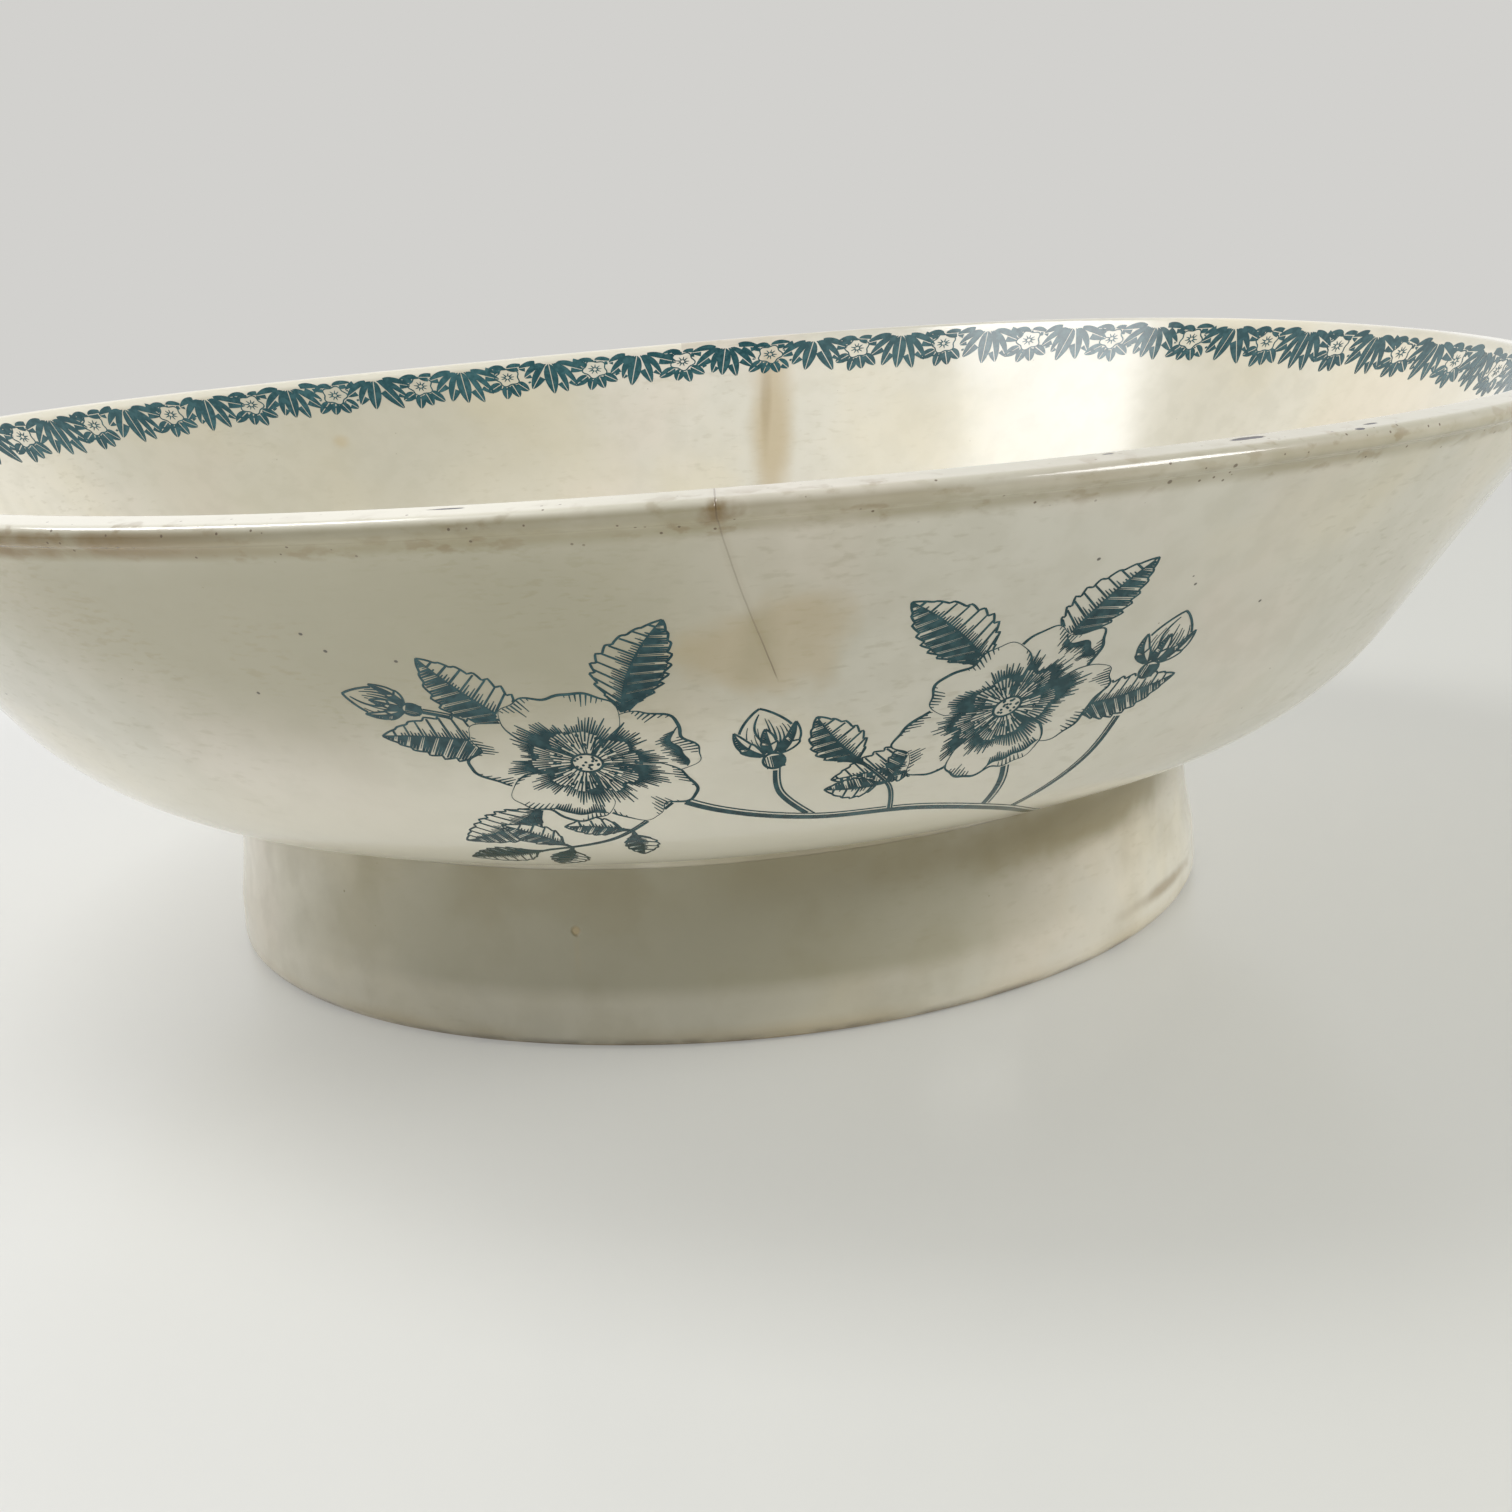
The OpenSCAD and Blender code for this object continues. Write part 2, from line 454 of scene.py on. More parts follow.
def rose(radius, shade, rng, start=0.3):
    """An open five-petalled blossom with a ring of stamens."""
    drawing = Engraving()
    lips = {0: (-0.75, 0.15, 0.16), 3: (-0.1, 0.8, 0.14)}  # of two petals: from, to and depth
    for k in (0, 2, 4, 1, 3):
        angle = start + 2 * pi * k / 5 + rng.uniform(-0.08, 0.08)
        drawing.add(*petal(angle, radius * rng.uniform(0.92, 1.06), radians(44), 0.12,
                           shade * rng.uniform(0.85, 1.2), rng, lips.get(k)))
    threads = []
    for k in range(30):
        angle = 2 * pi * k / 30 + rng.uniform(-0.06, 0.06)
        near, far = radius * 0.13, radius * (0.38 if k % 2 else 0.29) * rng.uniform(0.9, 1.1)
        thread = even([polar(near, angle), polar(far, angle + 0.08)], 0.07, FINE)
        threads += [thread, dash(*thread[0][-1], 0.2, 0.12, 0.24)]
    drawing.add(None, threads)
    heart = polar(radius * 0.13, np.linspace(0, 2 * pi, 19))
    seeds = [even(heart, 0.13, FINE)]
    for _ in range(18):
        angle, away = rng.uniform(0, 6.28), radius * 0.11 * sqrt(rng.random())
        seeds.append(dash(*polar(away, angle), 0.15, 0.08, 0.16))
    drawing.add(heart, seeds)
    return drawing


def leaf(length, width, bend, teeth, rng, dark_side=1):
    """A toothed leaf from the origin along +x. One half is in shade, the other shows its veins."""
    def rib(s):
        return np.stack([length * s, bend * length * s * (1 - s) * 2], -1)

    def spot(s, t):
        reach = np.sin(pi * np.clip(s, 0, 1) ** 0.82) ** 0.85
        saw = (s * teeth) % 1
        tooth = 1 + 0.20 * (saw - 0.5) * (np.abs(t) > 0.97) * (s < 0.97)
        ahead = np.clip(s + 0.16 * np.abs(t) * (1 - s), 0, 1)
        base = rib(ahead)
        return base + np.stack([np.zeros_like(s * t), width / 2 * reach * tooth * t * np.ones_like(s)], -1)

    s = np.linspace(0, 1, teeth * 8 + 1)
    upper, lower = spot(s, np.ones_like(s)), spot(s, -np.ones_like(s))
    outline = np.concatenate([upper, lower[::-1]])
    strokes = [even(side, 0.11, 0.25) for side in (upper, lower)]
    strokes.append(fading(resample(rib(np.linspace(0, 1, 20))), 0.22, 0.06))
    count = int(length / HATCH_STEP * 1.15)
    vein_every = max(4, int(count / teeth))
    for i in range(1, count):
        s0 = i / count
        vein = i % vein_every == 0
        for sign in (1, -1):
            shaded = sign == dark_side
            t = np.linspace(0.04, 0.96, 12) * sign
            long_line = 1.0 if (vein or shaded) else rng.uniform(0.35, 0.75)
            line = resample(spot(np.full_like(t, s0), t * long_line), HATCH)
            tone = (0.05 if vein else 0.18) if shaded else (0.12 if vein else 0.10)
            fade = np.linspace(1, 0.55 if shaded else (0.8 if vein else 0.1), len(line))
            strokes.append((line, tone * fade * rng.uniform(0.85, 1.15)))
    return outline, strokes


def stem(points, width):
    """A round stalk: shaded along its lower side, light along the top."""
    line = smooth_line(points)
    across = sideways(line)
    if across[len(across) // 2][1] < 0:
        across = -across
    half = np.linspace(width, width * 0.7, len(line)) / 2
    across = across * half[:, None]
    outline = np.concatenate([line + across, (line - across)[::-1]])
    shade = line - across * 0.45
    light = line + across * 0.9
    return outline, [(shade, half * 0.62), even(light, 0.09)]


def bud(length, rng):
    """A closed bud from the origin along +x: a round hip, three sepals and furled petals."""
    drawing = Engraving()
    s = np.linspace(0, 1, 25)
    belly = 0.30 * length * np.sin(pi * s ** 0.75) ** 0.8
    top, low = (np.stack([length * (0.22 + 0.78 * s), side * belly], 1) for side in (1, -1))
    outline = np.concatenate([top, low[::-1]])
    strokes = [even(side, 0.13, FINE) for side in (top, low)]
    count = int(length * 0.6 / HATCH_STEP)
    for i in range(1, count):
        t = -1 + 2 * i / count
        reach = slice(0, int(len(s) * rng.uniform(0.55, 0.85)))
        line = resample(np.stack([top[reach, 0], belly[reach] * t], 1), HATCH)
        strokes.append((line, np.linspace(0.17, 0.02, len(line)) * (1.15 if t < 0 else 0.7)))
    fold = resample(np.stack([length * (0.35 + 0.6 * s), 0.22 * length * np.sin(pi * s) * 0.5], 1))
    strokes.append(tapered(fold, 0.24))
    drawing.add(outline, strokes)
    for lean, size in ((0.55, 0.62), (-0.55, 0.62), (0.0, 0.5)):
        sepal = leaf(length * size, length * 0.17, 0.25 * np.sign(lean), 2, rng)
        drawing.add(*sepal, turned(lean, (length * 0.16, 0)))
    hip_angle = np.linspace(0, 2 * pi, 21)
    hip = np.stack([length * (0.12 + 0.13 * np.cos(hip_angle)), length * 0.12 * np.sin(hip_angle)], 1)
    lines = [even(hip, 0.13, 0.25)]
    for k in range(-3, 4):
        y = k * length * 0.03
        lines.append(even([(0, y), (length * 0.2, y)], 0.16 if k < 1 else 0.06, FINE))
    drawing.add(hip, lines)
    return drawing


def add_leaf(drawing, base, angle, length, width, rng, bend=0.15, teeth=7, dark_side=1):
    drawing.add(*leaf(length, width, bend, teeth, rng, dark_side), turned(angle, base))


def add_leaflets(drawing, points, size, rng, pairs, dark_side=1):
    """A compound leaf: a thin rib through the points, leaflets in pairs, and one at its end."""
    line = smooth_line(points)
    drawing.add(*stem(points, 0.55))
    step = np.gradient(line, axis=0)
    heading = np.arctan2(step[:, 1], step[:, 0])
    for k in range(pairs):
        share = 0.42 + 0.40 * k / (pairs - 1) if pairs > 1 else 0.6
        at = int(share * (len(line) - 1))
        grown = size * (0.72 + 0.14 * k)
        for side in (1, -1):
            add_leaf(drawing, line[at], heading[at] + side * rng.uniform(0.85, 1.05), grown, grown * 0.52,
                     rng, bend=0.12 * side, teeth=6, dark_side=-side)
    add_leaf(drawing, line[-1], heading[-1] + rng.uniform(-0.1, 0.1), size * 1.08, size * 0.56, rng,
             bend=0.08, teeth=7, dark_side=dark_side)


def flower_spray():
    """The spray on the outer wall: wild roses and buds on a curving stalk, in mm on the flat wall."""
    rng = random.Random(7)
    drawing = Engraving()
    # side stalks
    for points, width in (
        ([(33, 3.5), (33, 10), (31, 18)], 1.1),
        ([(11, 7.5), (7, 13), (6.5, 18)], 0.95),
        ([(38, 1), (43.5, 12), (45.5, 24)], 0.95),
        ([(-10, 16), (-21, 26), (-27.5, 29)], 0.95),
    ):
        drawing.add(*stem(points, width))
    # dark leaves behind the blossoms
    for base, angle, length, bend in (
        ((-16, 24), 2.2, 15.5, 0.1), ((-17, 22), 2.95, 15.5, -0.12), ((-8, 26), 1.25, 15.0, 0.15),
        ((-18, 14), 3.75, 14.5, 0.15), ((27, 28), 2.25, 15.0, -0.1), ((36, 21), 0.15, 14.0, -0.15),
        ((33, 29), 1.05, 14.5, 0.12), ((25, 19), 3.5, 13.5, 0.15),
    ):
        add_leaf(drawing, base, angle, length, length * 0.44, rng, bend=bend, teeth=9,
                 dark_side=1 if angle > 1.5 else -1)
    drawing.add(*stem([(47, -6), (37, 1.5), (24, 6.5), (11, 7.5), (0, 11), (-9, 17)], 1.5))
    drawing.extend(bud(9.5, rng), turned(1.75, (6.4, 17.2)))
    drawing.extend(bud(9.5, rng), turned(1.45, (45.6, 23.5)))
    drawing.extend(bud(7.5, rng), turned(2.75, (-27.0, 28.7)))
    add_leaflets(drawing, [(20, 7), (19, 12), (16, 16)], 9.5, rng, pairs=1)
    add_leaflets(drawing, [(-4, 13.5), (-12, 5.5), (-21, 2.5)], 10.5, rng, pairs=2, dark_side=-1)
    drawing.extend(rose(12.2, 1.1, rng, start=0.9), turned(0.2, (30.0, 22.5), squash=0.82, lean=0.6))
    drawing.extend(rose(12.2, 1.0, rng, start=0.35), turned(0.1, (-12.5, 20), squash=0.9, lean=-0.4))
    return drawing


GARLAND_WIDTH = 17.0  # of one repeat, in the flat drawing


def sprig_leaf(drawing, base, angle, length, width):
    """A small dark leaf of the border: two solid halves beside a light rib."""
    s = np.linspace(0, 1, 13)
    half = width / 4 * np.sin(pi * s ** 0.8) ** 0.8
    strokes = [(np.stack([length * s, side * (half + 0.10)], 1), half + 0.05) for side in (1, -1)]
    edge = 2 * half + 0.2
    outline = np.stack([np.append(length * s, length * s[::-1]), np.append(edge, -edge[::-1])], 1)
    drawing.add(outline, strokes, turned(angle, base))


def garland_blossom(drawing, centre, rng):
    """A pale open blossom of the border."""
    turn = np.linspace(0, 2 * pi, 41)
    wave = 1 + 0.13 * np.cos(5 * turn + rng.uniform(0, 6))
    rim = np.stack([centre[0] + 2.2 * wave * np.cos(turn), centre[1] + 1.9 * wave * np.sin(turn)], 1)
    strokes = [even(rim, 0.13)]
    for k in range(9):
        a = 2 * pi * k / 9 + rng.uniform(-0.1, 0.1)
        out = np.array([cos(a), 0.85 * sin(a)])
        strokes.append((np.array([centre + out * r for r in (0.35, 0.8, 1.3)]), np.array([0.17, 0.12, 0.05])))
    drawing.add(rim, strokes)


def garland_unit(rng):
    """One repeat of the border, hanging from y = 0: a thick tuft of dark leaves beside a pale blossom."""
    drawing = Engraving()
    half = GARLAND_WIDTH / 2
    for low, width in ((-1.0, 0.5), (-5.6, 0.4)):
        vine = smooth_line([(-half, low), (-half / 2, low * 0.8), (0, -1.4), (half / 2, low * 0.9),
                            (half, low)])
        drawing.add(None, [even(vine, width / 2)])

    def tuft(x, y, lean, length, width):
        sprig_leaf(drawing, (x, y), -pi / 2 + lean + rng.uniform(-0.14, 0.14),
                   length * rng.uniform(0.86, 1.12), width)

    for x, y, lean, length in ((-1.6, -4.4, -0.95, 3.2), (1.6, -4.4, 0.85, 3.0), (-0.5, -4.8, -0.3, 2.9),
                               (0.6, -4.8, 0.35, 2.7), (-0.2, -0.9, -1.5, 3.4), (0.2, -0.9, 1.5, 3.6)):
        tuft(x - half, y, lean, length, 1.7)
    for lean, length in ((1.5, 5.0), (-1.4, 4.8), (1.1, 5.8), (-0.95, 5.6), (0.72, 6.7), (-0.52, 6.3),
                         (0.36, 7.1), (-0.12, 6.9)):
        tuft(lean * 1.1, -0.8, lean, length, 2.4)
    garland_blossom(drawing, np.array([-half, -3.0]), rng)
    return drawing


# ---------------- ink on the wall

INK_LIFT = 0.03  # how far the ink stands proud of the skin, and how far it reaches under it
INK_SINK = -0.03


def print_on(name, strokes, wall, weight):
    """Lays flat strokes on a wall as a thin closed skin of ink. wall(points, lift) gives places in metres."""
    vertices, faces = [], []
    for line, half in strokes:
        half = half * weight
        across = sideways(line) * half[:, None]
        left, right = line + across, line - across
        rings = np.stack([wall(left, INK_LIFT), wall(right, INK_LIFT),
                          wall(right, INK_SINK), wall(left, INK_SINK)], 1)
        start, count = len(vertices), len(line)
        vertices += rings.reshape(-1, 3).tolist()
        corner = start + 4 * np.arange(count - 1)[:, None] + np.arange(4)
        turned_corner = np.roll(corner, -1, axis=1)
        faces += np.stack([corner, turned_corner, turned_corner + 4, corner + 4], -1).reshape(-1, 4).tolist()
        faces.append([start, start + 3, start + 2, start + 1])
        end = start + 4 * (count - 1)
        faces.append([end, end + 1, end + 2, end + 3])
    return make_mesh(name, vertices, faces)


SPRAY_RADIUS = 100.0  # wall radius at which the flat drawing keeps its width
SPRAY_FALL = outside(29.6)  # fall of the flat drawing's y = 0


def outer_wall(points, lift):
    """The spray's wall: the front of the outside."""
    return on_basin(points[:, 0] / SPRAY_RADIUS, SPRAY_FALL - points[:, 1], lift)


BORDER_FALL = -within(71.0)  # how far down the inside the flat border's y = 0 lies
BORDER_REPEATS = 41


def inner_wall(points, lift):
    """The border's wall: seen from inside, azimuth runs the other way."""
    turn = 2 * pi / (BORDER_REPEATS * GARLAND_WIDTH)
    return on_basin(-points[:, 0] * turn, points[:, 1] - BORDER_FALL, lift)


def garland_strokes():
    """The border's strokes right round the rim: a few slightly different repeats in turn."""
    rng = random.Random(11)
    units = [garland_unit(rng).visible() for _ in range(5)]
    return [(line + (GARLAND_WIDTH * k, 0), half)
            for k in range(BORDER_REPEATS) for line, half in units[k * 3 % len(units)]]


# ---------------- materials


class Shader:
    """The nodes of a material or a world. A material's colours are laid one over another."""

    def __init__(self, owner, colour=CREAM):
        self.owner, self.colour = owner, colour
        owner.use_nodes = True
        self.tree = owner.node_tree
        self.tree.nodes.clear()
        self.places = self.node("TexCoord").outputs
        self.where = self.places["Object"]

    def node(self, kind, inputs=None, **settings):
        """A node with its settings, and with a link or a value at each of the inputs."""
        made = self.tree.nodes.new("ShaderNode" + kind)
        for name, value in settings.items():
            setattr(made, name, value)
        for socket, value in (inputs or {}).items():
            if isinstance(value, bpy.types.NodeSocket):
                self.tree.links.new(value, made.inputs[socket])
            else:
                made.inputs[socket].default_value = value
        return made

    def math(self, operation, a, b=0.0):
        return self.node("Math", {0: a, 1: b}, operation=operation).outputs[0]

    def product(self, *factors):
        return reduce(lambda a, b: self.math("MULTIPLY", a, b), factors)

    def sum(self, *terms):
        return reduce(lambda a, b: self.math("ADD", a, b), terms)

    def ramp(self, value, zero, one):
        """0 where value is at zero, 1 where it is at one, smooth between. zero may be above one."""
        low, high = min(zero, one), max(zero, one)
        ends = (0.0, 1.0) if zero < one else (1.0, 0.0)
        return self.node("MapRange", {"Value": value, "From Min": low, "From Max": high,
                                      "To Min": ends[0], "To Max": ends[1]},
                         interpolation_type="SMOOTHSTEP").outputs["Result"]

    def stretched(self, x, y, z):
        return self.node("Mapping", {"Vector": self.where, "Scale": (x, y, z)}).outputs["Vector"]

    def noise(self, scale, detail=2.0, vector=None):
        """Noise of about 1 / scale metres, mostly between 0.3 and 0.7."""
        return self.node("TexNoise", {"Vector": vector or self.where, "Scale": scale,
                                      "Detail": detail}).outputs["Fac"]

    def patches(self, zero, one, scale, detail=2.0, vector=None):
        """Soft patches: 0 where the noise is below zero, 1 where it is above one."""
        return self.ramp(self.noise(scale, detail, vector), zero, one)

    def dots(self, cell, radius, share):
        """Round specks in cells of that size, both in mm. Share is how many of the cells have one."""
        cells = self.node("TexVoronoi", {"Vector": self.where, "Scale": 1 / (cell * MM)})
        chance = self.node("SeparateColor", {"Color": cells.outputs["Color"]}).outputs["Red"]
        return self.product(self.ramp(cells.outputs["Distance"], radius / cell, 0.6 * radius / cell),
                            self.math("LESS_THAN", chance, share))

    def blend(self, under, over, *cover):
        """One colour over another, as far as the product of the covers says."""
        return self.node("Mix", {0: self.product(*cover), 6: under, 7: over}, data_type="RGBA").outputs[2]

    def lay(self, over, *cover):
        """Lays a colour over what the material has so far."""
        self.colour = self.blend(self.colour, over, *cover)

    def on_wall(self):
        """Azimuth in degrees and place along the profile in mm, from the UV map "wall"."""
        uv = self.node("UVMap", uv_map="wall").outputs["UV"]
        split = self.node("SeparateXYZ", {"Vector": uv})
        self.wall = (self.math("MULTIPLY", split.outputs["X"], 360.0),
                     self.math("MULTIPLY", split.outputs["Y"], 100.0))
        return self.wall

    def blot(self, centre, size, ragged, scale, edge, core, wall=None):
        """A ragged oval stain, by its centre and half size in degrees and mm.

        It is 0 beyond edge and 1 inside core, which are shares of its size. Noise of that scale moves its
        outline in and out by up to ragged, also a share.
        """
        across, along = (self.math("DIVIDE", self.math("SUBTRACT", at, middle), half)
                         for at, middle, half in zip(wall or self.wall, centre, size))
        reach = self.math("SQRT", self.sum(self.product(across, across), self.product(along, along)))
        rough = self.math("MULTIPLY", self.math("SUBTRACT", self.noise(scale, 3.0), 0.5), 2 * ragged)
        return self.ramp(self.sum(reach, rough), edge, core)

    def gloss(self, roughness, height, bump_mm=0.05, ior=1.62):
        """A glossy surface, by default lead glaze. height is its bump, of which 1 stands bump_mm proud."""
        bump = self.node("Bump", {"Strength": 1.0, "Distance": bump_mm * MM, "Height": height})
        return self.node("BsdfPrincipled", {"Base Color": self.colour, "Roughness": roughness,
                                            "IOR": ior, "Normal": bump.outputs["Normal"]}).outputs["BSDF"]

    def finish(self, surface):
        self.node("OutputMaterial", {"Surface": surface})
        return self.owner


def new_material(name, colour=CREAM):
    return Shader(bpy.data.materials.new(name), colour)


def cream_glaze(mat):
    """Old cream glaze: drifts of greyer, warmer and pinker cream, fine dashes and pinpoint iron specks."""
    mat.lay(CREAM_GREY, mat.patches(0.38, 0.64, 14.0))
    mat.lay(CREAM_WARM, mat.patches(0.48, 0.70, 34.0, 4.0), 0.42)
    mat.lay(CREAM_PINK, mat.patches(0.50, 0.68, 24.0, 3.0, mat.stretched(1.3, 0.8, 1)), 0.5)
    mat.lay(FILM_AND_SHADE, mat.patches(0.40, 0.66, 240.0, 3.0), 0.12)
    dashes = mat.patches(0.54, 0.72, 420.0, 4.0, mat.stretched(1, 1, 3))
    mat.lay(OLIVE, dashes, mat.patches(0.42, 0.60, 22.0), 0.22)
    mat.lay(SPECK, mat.dots(8.0, 0.20, 0.6), 0.8)
    mat.lay(UMBER, mat.dots(4.0, 0.13, 0.6), 0.6)


def glaze_bump(mat):
    """The glaze's height: slow waves, the rings left by turning and a fine orange peel."""
    waves = mat.noise(45.0, 1.0)
    rings = mat.product(mat.noise(130.0, 1.0, mat.stretched(0.08, 0.08, 1)), 0.25)
    peel = mat.product(mat.noise(700.0, 2.0), 0.05)
    return mat.sum(waves, mat.sum(rings, peel))


def glaze_roughness(mat):
    """Glossy, and a little duller in patches."""
    return mat.node("MapRange", {"Value": mat.noise(55.0, 3.0), "From Min": 0.3, "From Max": 0.7,
                                 "To Min": 0.07, "To Max": 0.16}).outputs["Result"]


# Chips along the rim: (azimuth, fall) of each, and its half width in degrees and half height in mm.
CHIPS = (
    ((26.6, 0.9), (1.1, 0.45)), ((32.9, 2.9), (0.35, 0.3)), ((34.4, 1.8), (0.5, 0.25)),
    ((-10.7, 1.0), (0.85, 0.22)), ((19.0, 0.6), (0.3, 0.2)), ((-96.0, 0.7), (0.7, 0.6)),
    ((128.0, 0.6), (0.7, 0.5)), ((-152.0, 1.0), (0.5, 0.5)),
)

# Larger iron specks on the outer wall: (azimuth, height).
WALL_SPECKS = (
    (-19.8, 59.9), (-19.0, 57.9), (-24.6, 52.8), (-15.5, 56.6), (26.4, 57.1), (32.4, 53.4), (19.4, 61.7),
)

# Patches of painted shade on the inside, in the film's colour: (azimuth, height), half size and strength.
PAINTED_SHADE_INSIDE = (((-140.0, 60), (36.0, 26.0), 0.5), ((132.0, 58), (26.0, 26.0), 0.3))


def basin_cream_and_painted_light(mat):
    """The basin's cream: yellowed inside with patches of painted shade, under a grey-olive film high on the
    outer wall that at the front also stands in for painted shade, paler low down with painted light from the
    table, and painted light and shade on the rim's top.
    """
    azimuth, fall = mat.wall
    inner = mat.ramp(fall, -1.0, -3.0)
    outer = mat.math("SUBTRACT", 1.0, inner)
    cream_glaze(mat)
    mat.lay(CREAM_WARM, inner, mat.patches(0.44, 0.66, 20.0, 3.0, mat.stretched(1, 1, 0.6)), 0.4)
    both_ways = (mat.math("ABSOLUTE", azimuth), fall)
    pale = mat.blot((178.0, within(52)), (28.0, 28.0), 0.4, 26.0, 1.3, 0.4, both_ways)
    mat.lay(CREAM_PALE, inner, pale, 0.22)
    # Painted shade on the inside's far left and far right.
    for (centre, height), size, strength in PAINTED_SHADE_INSIDE:
        mat.lay(FILM_AND_SHADE, inner, mat.blot((centre, within(height)), size, 0.4, 22.0, 1.3, 0.3), strength)

    high = mat.product(mat.ramp(fall, outside(36), outside(56)), outer)
    mat.lay(FILM_AND_SHADE, high, mat.product(mat.patches(0.36, 0.66, 16.0, 3.0), 0.22))
    # A thicker film high on the front of the outer wall, which also stands in for painted shade where the
    # wall faces the dim room in front, with olive dashes in it.
    thick = mat.product(outer, mat.blot((-19.0, outside(60)), (30.0, 22.0), 0.5, 24.0, 1.3, 0.3))
    mat.lay(FILM_AND_SHADE, thick, 0.85)
    dashes = mat.patches(0.50, 0.68, 560.0, 5.0, mat.stretched(1, 1, 3))
    mat.lay(OLIVE, thick, dashes, mat.patches(0.42, 0.60, 70.0), 0.24)
    # Painted light low on the outer wall, as from the pale table below: paler cream, most at the front and
    # the left.
    low = mat.ramp(fall, outside(50), outside(30))
    share = mat.sum(0.30, mat.product(mat.ramp(azimuth, 42.0, 10.0), 0.60))
    mat.lay(CREAM_PALE, low, share)

    # Painted light and shade on the rim's top: paler at the left, which faces the light, greyer at the right,
    # which is in shade.
    rim_top = mat.product(mat.ramp(fall, outside(70.7), outside(71.4)), mat.ramp(fall, -2.6, -1.4))
    mat.lay(CREAM_PALE, rim_top, mat.ramp(azimuth, 3.0, -11.0), 0.7)
    mat.lay(FILM_AND_SHADE, rim_top, mat.ramp(azimuth, -5.0, 25.0), mat.ramp(azimuth, 105.0, 75.0), 0.55)
    return inner


def inner_stains(mat, inner):
    """A tan streak with a brown core down the far side of the inside, under the border, and a tan fleck."""
    mat.lay(TAN, mat.blot((171.0, within(54)), (2.8, 26.0), 0.35, 90.0, 1.1, 0.2), inner, 0.62)
    mat.lay(BROWN, mat.blot((171.6, within(60)), (0.8, 16.0), 0.3, 120.0, 1.0, 0.2), inner, 0.22)
    mat.lay(TAN, mat.blot((-143.3, within(60.6)), (1.3, 2.0), 0.6, 220.0, 1.0, 0.2), 0.4)


def rim_dirt_and_shade(mat):
    """Dirt and painted shade on the bead's lower side and in its groove, darkest at the left, with pits and
    pinpoints on the rim.
    """
    azimuth, fall = mat.wall
    bead_low, groove = outside(70.9), outside(69.0)
    patchy = mat.patches(0.34, 0.62, 60.0, 4.0)
    # The bead's underside and the groove: partly dirt, partly painted shade where they face down, rustier at
    # the left.
    under = mat.product(mat.ramp(fall, bead_low - 0.7, bead_low + 0.4), mat.ramp(fall, groove + 1.6, groove))
    mat.lay(OLIVE, under, mat.sum(0.36, mat.product(patchy, 0.25)))
    left = mat.product(under, mat.ramp(azimuth, -16.0, -30.0), mat.ramp(azimuth, -90.0, -70.0))
    mat.lay(RUST, left, mat.patches(0.28, 0.54, 120.0, 4.0), 0.9)
    on_rim = mat.product(mat.ramp(fall, 0.2, 2.6), mat.ramp(fall, groove + 2.0, groove + 0.5))
    smear = mat.patches(0.54, 0.66, 330.0, 4.0, mat.stretched(1, 1, 2))
    mat.lay(RUST, on_rim, smear, patchy, 0.45)
    mat.lay(UMBER, on_rim, mat.dots(1.5, 0.18, 0.8), 0.75)
    mat.lay(UMBER, on_rim, mat.dots(3.5, 0.32, 0.6), 0.70)


CRACK_AZIMUTH = 0.95  # where it crosses the rim
CRACK_SWING = 2.75  # how many degrees farther its lower end lies
CRACK_TOP, CRACK_END = outside(70.5), outside(52.0)


def crack_in_glaze(mat):
    """A soft stain, a brown blot where the crack crosses the bead, and the hairline down the wall."""
    azimuth, fall = mat.wall
    mat.lay(BROWN, mat.blot((CRACK_AZIMUTH, outside(70.2)), (1.0, 1.8), 0.9, 420.0, 1.1, 0.1), 0.75)
    share = mat.node("MapRange", {"Value": fall, "From Min": CRACK_TOP, "From Max": CRACK_END}).outputs[0]
    bend = mat.product(mat.math("POWER", share, 1.3), CRACK_SWING)
    wander = mat.product(mat.math("SUBTRACT", mat.noise(110.0), 0.5), 0.28)
    line = mat.sum(bend, CRACK_AZIMUTH, wander)
    off = mat.math("ABSOLUTE", mat.math("SUBTRACT", azimuth, line))
    reach = mat.product(mat.ramp(fall, CRACK_END + 0.5, CRACK_END - 1.5), mat.ramp(fall, -8.0, -5.0))
    ends = mat.math("MAXIMUM", mat.ramp(fall, CRACK_TOP + 1.5, CRACK_TOP - 0.5), mat.ramp(share, 0.62, 0.9))
    crack = mat.product(mat.ramp(off, 0.055, 0.018), reach)
    mat.lay(RUST, mat.ramp(off, 0.4, 0.03), reach, 0.10)
    mat.lay(UMBER, crack, mat.sum(0.22, mat.product(ends, 0.24)))
    return crack


